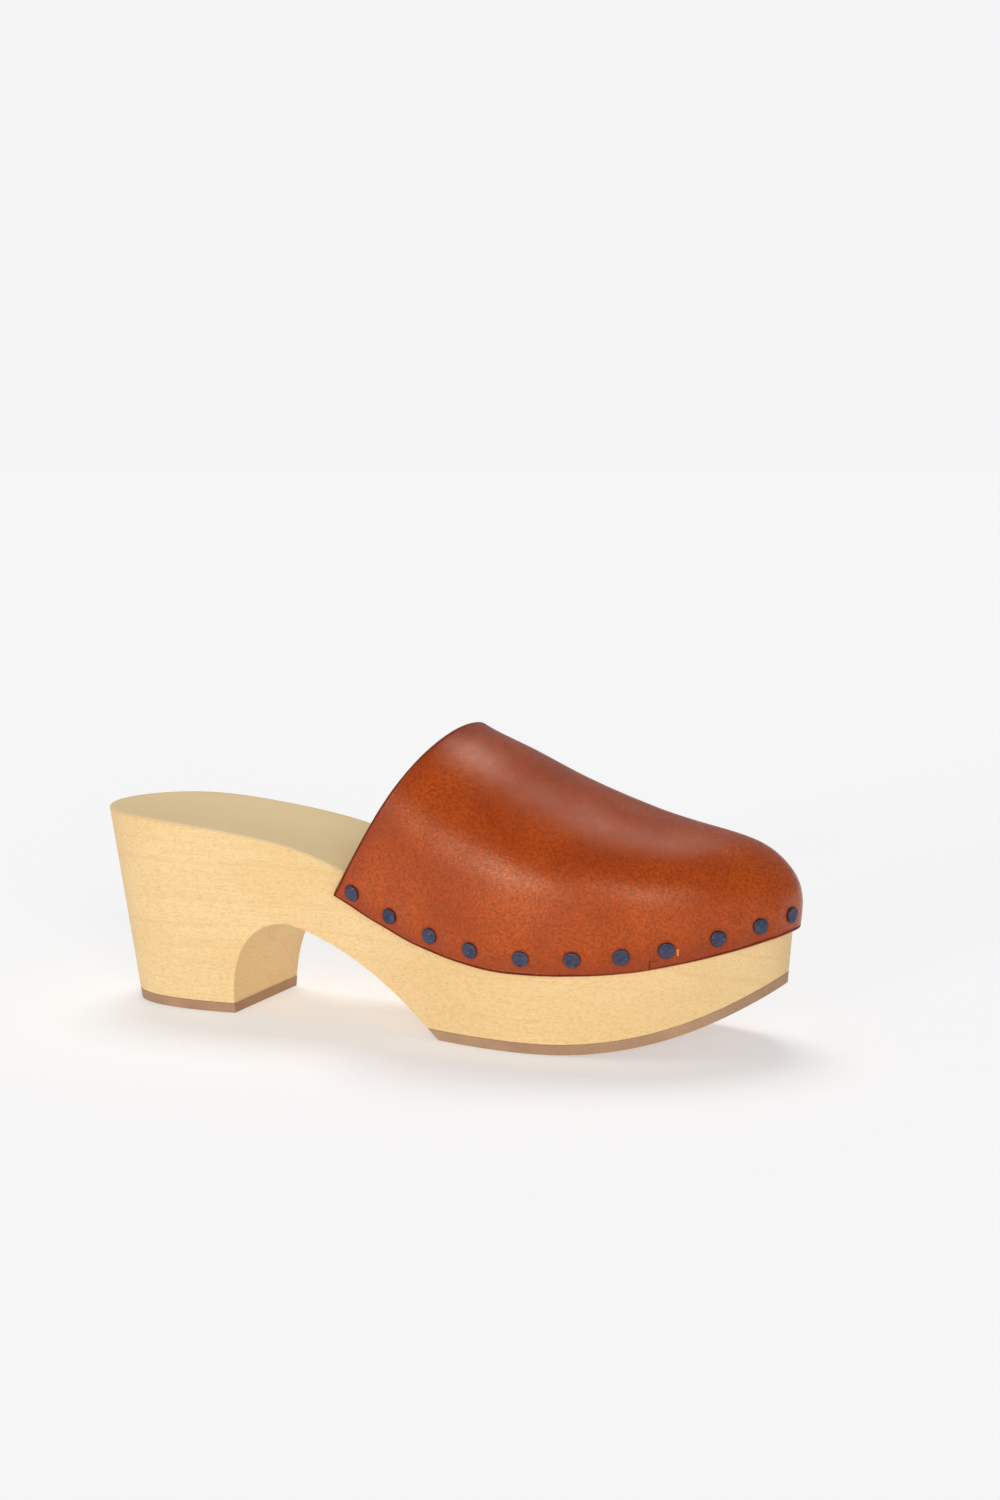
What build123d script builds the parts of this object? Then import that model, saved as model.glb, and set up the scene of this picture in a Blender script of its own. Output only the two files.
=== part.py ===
"""Right clog: a carved wooden base, a one-piece leather upper tacked round its edge, and rubber treads.

Working axes while building: X runs from the back of the heel to the toe, Y to the inner (medial) side
of the foot, Z up from the ground.  Every part is moved by the same small shift when it is written, so
that the origin lies under the middle of the whole clog.
"""
import math
import os

import numpy as np
from build123d import *

# ---------------------------------------------------------------- driving dimensions (mm, degrees)
# Plan outline of the wood, anticlockwise from the back of the heel along the outer (lateral) side.
# The walls are straight lines from the ground outline to the upper outline at REFERENCE_HEIGHT.
REFERENCE_HEIGHT = 80.0
UPPER_OUTLINE = [(0, 0), (5, -15.5), (19, -29), (50, -34.3), (90, -36), (130, -41.5), (165, -46.2),
                 (195, -42.7), (220, -31.8), (240, -12), (250, 10), (243.5, 25), (226, 36), (194, 42.4),
                 (158, 39), (120, 32.5), (80, 30.5), (45, 32), (17, 28), (4, 16)]
GROUND_OUTLINE = [(13.5, 0.5), (16.6, -11), (24.5, -20.4), (50, -25), (92, -20.8), (131, -27.6), (165, -34.2),
                  (192, -31), (214, -22.6), (233.7, -8.3), (244, 10), (237.5, 20.8), (221, 26.4), (193, 30.2),
                  (160, 27), (122, 18), (80, 17), (45, 22.8), (21, 19.4), (15, 10.5)]

# Side profile of the wood: height of the rim along X, and how deep the footbed is dished below it.
RIM_STATIONS = [0, 25, 50, 75, 92, 106, 124, 141, 163, 188, 214, 238, 252]
RIM_HEIGHTS = [67.4, 67.0, 65.2, 62.4, 59.0, 54.3, 46.6, 40.8, 37.1, 37.2, 40.1, 45.0, 48.5]
DISH_STATIONS = [0, 30, 105, 150, 200, 235, 250]
DISH_DEPTHS = [0, 1.2, 1.2, 2, 2, 1, 0]
DISH_STEEPNESS = 1.5
RIM_ROUND = 0.8

# The arch between heel and forefoot, as a side profile from the heel breast to the forefoot corner.
HEEL_BREAST = 61.3
ARCH_PROFILE = [(61.8, 10), (65.2, 22), (71.5, 29.6), (81, 33), (92, 30.7), (106, 24.5), (120, 16.2),
                (131.4, 7.6)]
ARCH_FRONT_SLOPE = 0.84
ARCH_BREAST_TANGENT = (0.03, 1)
SPLIT_STATION = 95.0

# Rubber treads, and the rise of the forefoot towards the toe.
TREAD_THICKNESS = 3.4
TOE_SPRING_START = 171.8
TOE_SPRING_END = 256.0
TOE_SPRING_RISE = 27.6
TOE_SPRING_POWER = 2.35
TOE_SPRING_SLOPE = TOE_SPRING_RISE * TOE_SPRING_POWER / (TOE_SPRING_END - TOE_SPRING_START)

# Leather upper: crown line, side bulge past the wood, height of the widest place above the rim.
LEATHER_THICKNESS = 2.3
CROWN_STATIONS = [100, 125, 141, 156, 172, 190, 210, 230, 245, 258]
CROWN_HEIGHTS = [126, 111.5, 101, 94.2, 86.4, 79.2, 74.6, 75.4, 74.4, 61]
UPPER_STATIONS = [105, 128, 156, 192, 221, 252]
SIDE_BULGE = [4.6, 5.4, 4.3, 3.4, 2.8, 2.0]
WIDEST_ABOVE_RIM = [24, 24, 20, 14, 7, 1.0]
CROWN_FULLNESS = [2.1, 2.1, 2.12, 2.08, 2.2, 1.96]
EDGE_STATIONS = [104, 112, 124, 135, 147, 160, 173, 190, 206, 222, 237, 252]
EDGE_HEIGHTS = [46.2, 42.3, 37.0, 33.0, 30.1, 27.9, 27.3, 27.8, 29.3, 32.3, 35.8, 40.2]
TOPLINE_FOOT = 104.3
TOPLINE_FOOT_HEIGHT = 45.8
TOPLINE_RAKE = 0.66
PUFF_THICKNESS = 1.0
PUFF_START = 0.3
PUFF_DROP = 0.9
LEATHER_GAP = 0.15

# Tacks: arc distances of the outer side's tacks from the rear one, then an even pitch round the inside.
OUTER_TACKS = [0, 15.8, 32, 47.4, 64.6, 80.7, 95.9, 109.7, 126.4, 141.3, 154.5]
INNER_TACK_PITCH = 15.2
INNER_TACK_COUNT = 10
TACK_ABOVE_EDGE = 5.4
TACK_FIRST_STATION = 111.8
TACK_LAST_STATION = 102.8
TACK_HEAD = 5.2
TACK_HEAD_THICKNESS = 0.8
TACK_HEAD_SUNK = 0.45
TACK_HEAD_ROUND = 0.25
TACK_SHANK = 1.6
TACK_POINT = 0.5
TACK_LENGTH = 11.0

# The spokes of the upper turn about this station, where the foot is widest.
BALL_STATION = 178.0

# How finely the curves and surfaces are worked out.
GRID_SIDE = 9
GRID_TOE = 12
GRID_ACROSS = 25
CROWN_POINTS = 48
SIDE_POINTS = 17
SKIRT_POINTS = 13
WALL_POINTS = 31
WALL_TOLERANCE = 0.005
SURFACE_TOLERANCE = 0.05
OUTLINE_POINTS = 721
TACK_LINE_POINTS = 500
FOOTBED_ROWS = 16
FOOTBED_COLUMNS = 17
SPRING_POINTS = 9
NORMAL_STEP = 0.002
WALL_ROUNDS = 12
TOPLINE_ROUNDS = 18
TOPLINE_SPAN = 60.0

# How far the cutting shapes reach past the clog.
WIDTH_REACH = 80.0
CUT_MARGIN = 8.0
CUT_DEPTH = 20.0
CUT_HALF_WIDTH = 60.0
NARROWEST_FOOTBED = 12.0
SPLITTER = 400.0
LONG_EDGE = 200.0

# Middle of the whole clog, which becomes the origin.
MIDDLE_X = 126.0
MIDDLE_Y = -2.2


# ---------------------------------------------------------------- curves
def cubic(params, values, closed=False):
    """Cubic interpolation through values at params: periodic if closed, otherwise with free ends."""
    knots = np.asarray(params, float)
    nodes = np.asarray(values, float)
    gaps = np.diff(knots)
    chords = np.diff(nodes, axis=0) / (gaps if nodes.ndim == 1 else gaps[:, None])
    count = len(knots)
    matrix = np.zeros((count, count))
    right = np.zeros_like(nodes)
    for i in range(1, count - 1):
        matrix[i, i - 1:i + 2] = gaps[i], 2 * (gaps[i - 1] + gaps[i]), gaps[i - 1]
        right[i] = 3 * (gaps[i] * chords[i - 1] + gaps[i - 1] * chords[i])
    if closed:
        matrix[0, 0], matrix[0, -1] = 1, -1
        matrix[-1, [0, 1, -2, -1]] = 2 * gaps[-1], gaps[-1], gaps[0], 2 * gaps[0]
        right[-1] = 3 * (gaps[0] * chords[-1] + gaps[-1] * chords[0])
    else:
        matrix[0, :2] = 2, 1
        matrix[-1, -2:] = 1, 2
        right[0], right[-1] = 3 * chords[0], 3 * chords[-1]
    slopes = np.linalg.solve(matrix, right)

    def curve(at):
        i = min(max(int(np.searchsorted(knots, at, side="right")) - 1, 0), count - 2)
        w = (at - knots[i]) / gaps[i]
        return ((1 + 2 * w) * (1 - w) ** 2 * nodes[i] + w * (1 - w) ** 2 * gaps[i] * slopes[i]
                + w * w * (3 - 2 * w) * nodes[i + 1] - w * w * (1 - w) * gaps[i] * slopes[i + 1])

    return curve


def chord_params(points):
    """Share of the closed outline's length at each of its points, from 0 to 1."""
    steps = np.linalg.norm(np.diff(np.array(points + points[:1], float), axis=0), axis=1)
    return np.concatenate([[0], np.cumsum(steps)]) / steps.sum()


outline_params = chord_params(UPPER_OUTLINE)
upper_curve = cubic(outline_params, UPPER_OUTLINE + UPPER_OUTLINE[:1], closed=True)
ground_curve = cubic(outline_params, GROUND_OUTLINE + GROUND_OUTLINE[:1], closed=True)
rim_height = cubic(RIM_STATIONS, RIM_HEIGHTS)
crown_height = cubic(CROWN_STATIONS, CROWN_HEIGHTS)
edge_height = cubic(EDGE_STATIONS, EDGE_HEIGHTS)
side_bulge = cubic(UPPER_STATIONS, SIDE_BULGE)
widest_above_rim = cubic(UPPER_STATIONS, WIDEST_ABOVE_RIM)
crown_fullness = cubic(UPPER_STATIONS, CROWN_FULLNESS)


def wall_point(share, height):
    """Plan point of the wooden wall at this share of the outline and this height."""
    w = height / REFERENCE_HEIGHT
    return upper_curve(share) * w + ground_curve(share) * (1 - w)


def wall_at(share, height_along_x):
    """Point of the wall where it meets a height that depends on X, such as the rim."""
    height = REFERENCE_HEIGHT / 2
    for _ in range(WALL_ROUNDS):
        height = float(height_along_x(wall_point(share, height)[0]))
    return np.append(wall_point(share, height), height)


SHARES = np.linspace(0, 1, OUTLINE_POINTS)
RIM = np.array([wall_at(share, rim_height) for share in SHARES])
TOE = int(np.argmax(RIM[:, 0]))
UPPER_LENGTH = float(max(x for x, y in UPPER_OUTLINE))


def side_share(x, lateral):
    """Share of the outline where the rim passes station x, on the outer or the inner side."""
    half = slice(0, TOE + 1) if lateral else slice(TOE, None)
    order = np.argsort(RIM[half, 0])
    return float(np.interp(x, RIM[half, 0][order], SHARES[half][order]))


def middle(x):
    """Middle of the rim at station x."""
    sides = [np.interp(side_share(x, lateral), SHARES, RIM[:, 1]) for lateral in (True, False)]
    return sum(sides) / 2


BALL = np.array([BALL_STATION, middle(BALL_STATION)])
toe_half = (RIM[:, 0] > BALL_STATION - 1)
TOE_ANGLES = np.arctan2(RIM[toe_half, 1] - BALL[1], RIM[toe_half, 0] - BALL[0])
TOE_SHARES = SHARES[toe_half]


# ---------------------------------------------------------------- the upper's surface
def wall_normal(share, height):
    """Outward plan direction of the wall."""
    ahead, behind = wall_point(share + NORMAL_STEP, height), wall_point(share - NORMAL_STEP, height)
    across = np.array([ahead[1] - behind[1], behind[0] - ahead[0]])
    return across / np.linalg.norm(across)


def spoke(centre, share, depth, skirt):
    """Section of the upper from its crown over the side to the rim and, with skirt, down to its lower edge.

    depth is how far inside the outer face of the leather it lies.
    """
    foot = wall_at(share, rim_height)
    station = foot[0]
    reach = np.linalg.norm(foot[:2] - centre)
    out = (foot[:2] - centre) / reach
    rise = float(widest_above_rim(station))
    power = 2 / float(crown_fullness(station))
    widest_height = foot[2] + rise
    widest = centre + out * (reach + float(side_bulge(station)) - depth)
    offset = LEATHER_THICKNESS + LEATHER_GAP - depth
    at_rim = foot[:2] + wall_normal(share, foot[2]) * offset
    points = []
    for angle in np.linspace(0, math.pi / 2, CROWN_POINTS):
        plan = centre + (widest - centre) * math.sin(angle) ** power
        top = float(crown_height(plan[0])) - depth
        points.append([*plan, widest_height + (top - widest_height) * math.cos(angle) ** power])
    for drop in np.linspace(0, 1 if skirt else PUFF_DROP, SIDE_POINTS)[1:]:
        plan = at_rim + (widest - at_rim) * (1 - drop * drop)
        points.append([*plan, widest_height - rise * drop])
    if skirt:
        low = wall_at(share, edge_height)
        for drop in np.linspace(0, 1, SKIRT_POINTS)[1:]:
            height = foot[2] + (low[2] - foot[2]) * drop
            plan = wall_point(share, height) + wall_normal(share, height) * offset
            points.append([*plan, height])
    return np.array(points)


def along(points, share):
    """Point of a polyline at this share of its length."""
    lengths = np.concatenate([[0], np.cumsum(np.linalg.norm(np.diff(points, axis=0), axis=1))])
    return np.array([np.interp(share * lengths[-1], lengths, points[:, k]) for k in range(3)])


def side_spoke(x, lateral, depth, skirt=True):
    """Spoke that stands square to the length of the clog at station x."""
    return spoke(np.array([x, middle(x)]), side_share(x, lateral), depth, skirt)


def topline_station(share, lateral, depth):
    """Station where the line at this share of the spokes meets the raked plane of the topline."""
    low, high = TOPLINE_FOOT - CUT_MARGIN / 2, TOPLINE_FOOT + TOPLINE_SPAN
    for _ in range(TOPLINE_ROUNDS):
        x = (low + high) / 2
        point = along(side_spoke(x, lateral, depth), share)
        if point[0] < TOPLINE_FOOT + TOPLINE_RAKE * (point[2] - TOPLINE_FOOT_HEIGHT):
            low = x
        else:
            high = x
    return (low + high) / 2


def toe_point(a, c, depth, skirt=True):
    """Point of the toe cap: a from -1 to 1 across it, c from 0 at the ball to 1 at the front edge."""
    forward = c * math.sqrt(1 - a * a / 2)
    sideways = a * math.sqrt(1 - c * c / 2)
    turn = math.atan2(sideways, forward)
    angle = np.interp(turn, [-math.pi / 2, math.pi / 2], [TOE_ANGLES.min(), TOE_ANGLES.max()])
    share = float(np.interp(angle, TOE_ANGLES, TOE_SHARES))
    return along(spoke(BALL, share, depth, skirt), min(math.hypot(forward, sideways), 1))


def smooth_face(rows):
    """Smooth cubic face through rows of points."""
    return Face.make_surface_from_array_of_points(rows, tol=SURFACE_TOLERANCE, min_deg=3, max_deg=3)


def eased(first, last, count):
    """Values from first to last that crowd together towards -1 and 1, where the upper turns to its edge."""
    return np.sin(np.linspace(math.asin(first), math.asin(last), count))


def leather_face(depth):
    """Face of the leather at this depth, from the topline over the toe to the lower edge."""
    rows = []
    for a in eased(-1, 1, GRID_ACROSS):
        rear = topline_station(abs(a), a < 0, depth)
        sides = [along(side_spoke(x, a < 0, depth), abs(a))
                 for x in np.linspace(rear, BALL_STATION, GRID_SIDE)]
        toe = [toe_point(a, c, depth) for c in eased(0, 1, GRID_TOE)[1:]]
        rows.append([Vector(*point) for point in sides + toe])
    return smooth_face(rows)


def puff_face(depth):
    """Face of the toe puff at this depth: the front of the toe, down to just above the rim."""
    rows = [[Vector(*toe_point(a, c, depth, skirt=False)) for c in eased(PUFF_START, 1, GRID_TOE)]
            for a in eased(-1, 1, GRID_ACROSS)]
    return smooth_face(rows)


def sheet_between(outer, inner):
    """Closed sheet between two faces of the same layout, with straight edges round it."""
    inner_edges = list(inner.edges())
    sides = []
    for edge in outer.edges():
        middle_point = edge.position_at(0.5)
        partner = min(inner_edges, key=lambda other: (other.position_at(0.5) - middle_point).length)
        sides.append(Face.make_surface_from_curves(edge, partner))
    return Solid(Shell([outer, inner, *sides]))


# ---------------------------------------------------------------- wood and rubber
def wall_face(first, last):
    """One side of the block: the wall between two shares of the outline."""
    rows = [[Vector(*wall_point(share, height), height) for height in np.linspace(0, REFERENCE_HEIGHT, 4)]
            for share in np.linspace(first, last, WALL_POINTS)]
    return Face.make_surface_from_array_of_points(rows, tol=WALL_TOLERANCE, min_deg=3, max_deg=3)


def block():
    """The whole outline as a solid block, from the ground to the reference height."""
    walls = [wall_face(0, 0.5), wall_face(0.5, 1)]
    caps = []
    for height in (0, REFERENCE_HEIGHT):
        edges = [wall.edges().filter_by(lambda edge: edge.bounding_box().size.Z < 1)
                 .sort_by(lambda edge: abs(edge.center().Z - height))[0] for wall in walls]
        caps.append(Face(Wire(edges)))
    return Solid(Shell(walls + caps))


def across(profile):
    """Solid of a side profile, given as a wire in X and Z, through the whole width."""
    return extrude(Plane.XZ * make_face(profile), WIDTH_REACH, both=True)


def spring_height(x):
    """Height of the forefoot's underside at station x."""
    share = max(x - TOE_SPRING_START, 0) / (TOE_SPRING_END - TOE_SPRING_START)
    return TOE_SPRING_RISE * share ** TOE_SPRING_POWER


def underside(lift):
    """Everything below the forefoot's underside raised by lift, as a side profile."""
    stations = np.linspace(TOE_SPRING_START, TOE_SPRING_END, SPRING_POINTS)
    curve = Spline(*[(x, lift + spring_height(x)) for x in stations], tangents=[(1, 0), (1, TOE_SPRING_SLOPE)])
    left, right, low = -CUT_MARGIN, TOE_SPRING_END, -CUT_DEPTH
    path = [Line((left, low), (left, lift)), Line((left, lift), (TOE_SPRING_START, lift)), curve,
            Line((right, lift + spring_height(right)), (right, low)), Line((right, low), (left, low))]
    return across(path)


def arch():
    """The opening between heel and forefoot, through the whole width."""
    breast, corner = ARCH_PROFILE[0], ARCH_PROFILE[-1]
    curve = Spline(*ARCH_PROFILE, tangents=[ARCH_BREAST_TANGENT, (1, -ARCH_FRONT_SLOPE)])
    low = -CUT_DEPTH
    front = (corner[0] + (corner[1] - low) / ARCH_FRONT_SLOPE, low)
    path = [Line((HEEL_BREAST, low), breast), curve, Line(corner, front), Line(front, (HEEL_BREAST, low))]
    return across(path)


def above_footbed():
    """Everything above the dished footbed."""
    rows = []
    for x in np.linspace(-CUT_MARGIN, UPPER_LENGTH + CUT_MARGIN, FOOTBED_ROWS):
        dish = float(np.interp(x, DISH_STATIONS, DISH_DEPTHS))
        half = 0.5 * abs(np.subtract(*[np.interp(side_share(x, lateral), SHARES, RIM[:, 1])
                                       for lateral in (True, False)]))
        centre = middle(x)
        row = []
        for y in np.linspace(-CUT_HALF_WIDTH, CUT_HALF_WIDTH, FOOTBED_COLUMNS):
            inward = max(1 - ((y - centre) / max(half, NARROWEST_FOOTBED)) ** 2, 0)
            row.append(Vector(x, y, float(rim_height(x)) - dish * inward ** DISH_STEEPNESS))
        rows.append(row)
    return extrude(smooth_face(rows), REFERENCE_HEIGHT, dir=(0, 0, 1))


def tack_places():
    """Share of the outline and height of every tack, from the outer rear one round the toe."""
    shares = np.linspace(side_share(TACK_FIRST_STATION, True), side_share(TACK_LAST_STATION, False),
                         TACK_LINE_POINTS)
    line = np.array([wall_at(share, lambda x: edge_height(x) + TACK_ABOVE_EDGE) for share in shares])
    lengths = np.concatenate([[0], np.cumsum(np.linalg.norm(np.diff(line, axis=0), axis=1))])
    inner = [OUTER_TACKS[-1] + INNER_TACK_PITCH * (i + 1) for i in range(INNER_TACK_COUNT)]
    return [(float(np.interp(distance, lengths, shares)), float(np.interp(distance, lengths, line[:, 2])))
            for distance in OUTER_TACKS + inner]


def tack():
    """Flat-headed tack with a square tapered shank, pointing down from the underside of its head."""
    head = extrude(Circle(TACK_HEAD / 2), TACK_HEAD_THICKNESS)
    head = fillet(head.edges().group_by(Axis.Z)[-1], TACK_HEAD_ROUND)
    root = Rectangle(TACK_SHANK, TACK_SHANK)
    point = Pos(0, 0, -TACK_LENGTH) * Rectangle(TACK_POINT, TACK_POINT)
    return head + loft([root, point])


def tacks():
    """All the tacks, each square to the wall with its head bedded in the leather."""
    solids = []
    for share, height in tack_places():
        plan = wall_point(share, height)
        normal = wall_normal(share, height)
        lean = (wall_point(share, height + 1) - plan) @ normal
        outward = Vector(*normal, -lean).normalized()
        seat = Vector(*plan, height) + outward * (LEATHER_THICKNESS + LEATHER_GAP - TACK_HEAD_SUNK)
        solids.append(Plane(origin=seat, x_dir=(-normal[1], normal[0], 0), z_dir=outward) * tack())
    return solids


def write(name, solids):
    """Move the solids so that the origin is under the middle of the clog, and write them as one part."""
    moved = [Pos(-MIDDLE_X, -MIDDLE_Y, 0) * solid for solid in solids]
    part = moved[0] if len(moved) == 1 else Compound(children=moved)
    part.label = name
    export_step(part, f"parts/{name}.step")
    print(name, len(moved), "solids", part.bounding_box())


def main():
    os.makedirs("parts", exist_ok=True)
    sole = block() - above_footbed() - arch()
    wood_cut = underside(TREAD_THICKNESS)
    forefoot_side = Pos(SPLIT_STATION + SPLITTER / 2, 0, 0) * Box(SPLITTER, SPLITTER, SPLITTER)
    heel_side = Pos(SPLIT_STATION - SPLITTER / 2, 0, 0) * Box(SPLITTER, SPLITTER, SPLITTER)
    fasteners = tacks()
    wood = (sole - wood_cut).solid().cut(*fasteners).solid()
    rim = wood.edges().filter_by(lambda edge: edge.bounding_box().size.X > LONG_EDGE)
    wood = wood.fillet(RIM_ROUND, rim)
    outsole = ((sole & wood_cut & forefoot_side) - underside(0)).solid()
    lift = (sole & wood_cut & heel_side).solid()
    leather = sheet_between(leather_face(0), leather_face(LEATHER_THICKNESS)).cut(*fasteners)
    inside = LEATHER_THICKNESS + LEATHER_GAP
    puff = sheet_between(puff_face(inside), puff_face(inside + PUFF_THICKNESS))
    write("wood_base", [wood.solid()])
    write("forefoot_outsole", [outsole])
    write("heel_lift", [lift])
    write("leather_upper", [leather.solid()])
    write("toe_puff", [puff])
    write("upper_tacks", fasteners)


main()
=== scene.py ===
"""Looks of the right clog: carved wood, tacked leather upper, toe puff and rubber treads.

The shape is worked out in the clog's own axes, in millimetres (X from the heel's back to the toe, Y to
the inner side, Z up), and moved to the row frame in metres when a mesh is made.
"""
import math
import random

import bmesh
import bpy
import numpy as np
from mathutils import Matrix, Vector, kdtree, noise


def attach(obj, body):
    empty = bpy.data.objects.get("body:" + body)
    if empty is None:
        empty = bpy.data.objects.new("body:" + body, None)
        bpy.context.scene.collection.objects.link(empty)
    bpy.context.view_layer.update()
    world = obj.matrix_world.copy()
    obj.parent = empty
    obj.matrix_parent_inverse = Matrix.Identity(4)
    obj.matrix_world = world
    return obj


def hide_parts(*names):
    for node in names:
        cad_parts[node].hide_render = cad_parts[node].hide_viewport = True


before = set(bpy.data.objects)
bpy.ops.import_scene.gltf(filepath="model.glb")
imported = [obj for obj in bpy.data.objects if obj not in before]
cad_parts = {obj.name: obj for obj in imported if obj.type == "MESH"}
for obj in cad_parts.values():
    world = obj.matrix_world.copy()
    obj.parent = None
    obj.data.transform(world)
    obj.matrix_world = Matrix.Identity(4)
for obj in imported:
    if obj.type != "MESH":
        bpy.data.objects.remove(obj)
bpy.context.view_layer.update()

MM = 0.001
MIDDLE = np.array([126.0, -2.2, 0.0])   # the row frame's origin in the clog's own axes

# ---------------------------------------------------------------- shape of the clog (mm), as in its design
REFERENCE_HEIGHT = 80.0
UPPER_OUTLINE = [(0, 0), (5, -15.5), (19, -29), (50, -34.3), (90, -36), (130, -41.5), (165, -46.2),
                 (195, -42.7), (220, -31.8), (240, -12), (250, 10), (243.5, 25), (226, 36), (194, 42.4),
                 (158, 39), (120, 32.5), (80, 30.5), (45, 32), (17, 28), (4, 16)]
GROUND_OUTLINE = [(13.5, 0.5), (16.6, -11), (24.5, -20.4), (50, -25), (92, -20.8), (131, -27.6), (165, -34.2),
                  (192, -31), (214, -22.6), (233.7, -8.3), (244, 10), (237.5, 20.8), (221, 26.4), (193, 30.2),
                  (160, 27), (122, 18), (80, 17), (45, 22.8), (21, 19.4), (15, 10.5)]
RIM_STATIONS = [0, 25, 50, 75, 92, 106, 124, 141, 163, 188, 214, 238, 252]
RIM_HEIGHTS = [67.4, 67.0, 65.2, 62.4, 59.0, 54.3, 46.6, 40.8, 37.1, 37.2, 40.1, 45.0, 48.5]
DISH_STATIONS = [0, 30, 105, 150, 200, 235, 250]
DISH_DEPTHS = [0, 1.2, 1.2, 2, 2, 1, 0]
DISH_STEEPNESS = 1.5
DISH_LEAST_HALF_WIDTH = 12
HEEL_BREAST = 61.3
ARCH_PROFILE = [(61.8, 10), (65.2, 22), (71.5, 29.6), (81, 33), (92, 30.7), (106, 24.5), (120, 16.2),
                (131.4, 7.6)]
ARCH_FRONT_SLOPE = 0.84
TREAD_THICKNESS = 3.4
TOE_SPRING_START = 171.8
TOE_SPRING_END = 256.0
TOE_SPRING_RISE = 27.6
TOE_SPRING_POWER = 2.35
LEATHER_THICKNESS = 2.3
LEATHER_GAP = 0.15
CROWN_STATIONS = [100, 125, 141, 156, 172, 190, 210, 230, 245, 258]
CROWN_HEIGHTS = [126, 111.5, 101, 94.2, 86.4, 79.2, 74.6, 75.4, 74.4, 61]
UPPER_STATIONS = [105, 128, 156, 192, 221, 252]
SIDE_BULGE = [4.6, 5.4, 4.3, 3.4, 2.8, 2.0]
WIDEST_ABOVE_RIM = [24, 24, 20, 14, 7, 1.0]
CROWN_FULLNESS = [2.1, 2.1, 2.12, 2.08, 2.2, 1.96]
EDGE_STATIONS = [104, 112, 124, 135, 147, 160, 173, 190, 206, 222, 237, 252]
EDGE_HEIGHTS = [46.2, 42.3, 37.0, 33.0, 30.1, 27.9, 27.3, 27.8, 29.3, 32.3, 35.8, 40.2]
TOPLINE_FOOT = 104.3
TOPLINE_FOOT_HEIGHT = 45.8
TOPLINE_RAKE = 0.66
BALL_STATION = 178.0
OUTER_TACKS = [0, 15.8, 32, 47.4, 64.6, 80.7, 95.9, 109.7, 126.4, 141.3, 154.5]
INNER_TACK_PITCH = 15.2
INNER_TACK_COUNT = 10
TACK_ABOVE_EDGE = 5.4
TACK_FIRST_STATION = 111.8
TACK_LAST_STATION = 102.8
TACK_HEAD = 5.2
TACK_HEAD_THICKNESS = 0.8
TACK_HEAD_SUNK = 0.45
TACK_SHANK = 1.6
TACK_POINT = 0.5
TACK_LENGTH = 11.0

# Finish of the edges and surfaces (mm)
RIM_ROUND = 0.9
WOOD_EDGE_ROUND = 0.35
TREAD_EDGE_ROUND = 0.3
CUT_OUTER_ROUND = 0.5
CUT_INNER_ROUND = 0.3
TACK_EDGE_ROUND = 0.28
DENT_DEPTH = 0.3
DENT_REACH = 3.4
PUCKER_HEIGHT = 0.28
PUCKER_REACH = 6.0
PUCKER_TACK_SPREAD = 5.5
PUCKER_SPAN = 8.0
PUCKER_FADE = 3.0

# Slow waves of the hand-lasted skin: height and width (mm), and offset in the noise
SKIN_WAVES = ((0.16, 26, (0, 0, 0)), (0.05, 9, (7, 3, 1)))

# Hand-made tack heads: slope of their tilt, shares of unroundness once, twice and three times round,
# depth of the hammer marks (mm), their scale and the step between heads in the noise, and crown (mm)
TACK_TILT = 0.03
TACK_UNROUNDNESS = (0.035, 0.03, 0.012)
TACK_MARK_DEPTH = 0.05
TACK_MARK_SCALE = 0.9
TACK_MARK_STEP = 3.7
TACK_CROWN = 0.02

# Small damage beside one outer tack: centres and half sizes of its parts, behind and below the head (mm)
TORN_TACK = 7
CUT_ARM, CUT_ARM_HALF = (3.8, 3.6), (1.1, 0.17)
CUT_LEG, CUT_LEG_HALF = (4.9, 5.5), (0.17, 2.0)
FIBRES, FIBRES_HALF = (-2.95, 0.8), (0.35, 1.1)

# The row frame's camera (m), matched to the photographed clog
CAMERA_PLACE = (0.30933, -0.67189, 0.18672)
CAMERA_AIM = (0.01536, 0.02101, 0.08947)
CAMERA_LENS = 53.58
CAMERA_SENSOR = 36

# Studio
FLOOR_RADIUS = 40.0
FLOOR_SIDES = 96
FLOOR_COLOUR = (0.66, 0.66, 0.665, 1)
BACKDROP_COLOUR = (0.915, 0.915, 0.915, 1)
FILL_STRENGTH = 0.28
FLOOR_GLOW = 0.43
WHITE = (1, 1, 1, 1)
# Azimuth, elevation and width of each sun, in degrees, and its strength
SUNS = {
    "front_light": (-104, 4, 12, 1.15),
    "front_light_right": (-54, 16, 26, 0.85),
    "back_light": (118, 62, 30, 1.3),
}

# Sampling and solving
OUTLINE_SAMPLES = 1441
NORMAL_STEP = 0.002      # share of the outline
WALL_ROUNDS = 14
HALVINGS = 40
MERGE_DISTANCE = 0.004   # mm
SLIVER_LENGTH = 0.001    # mm


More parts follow.
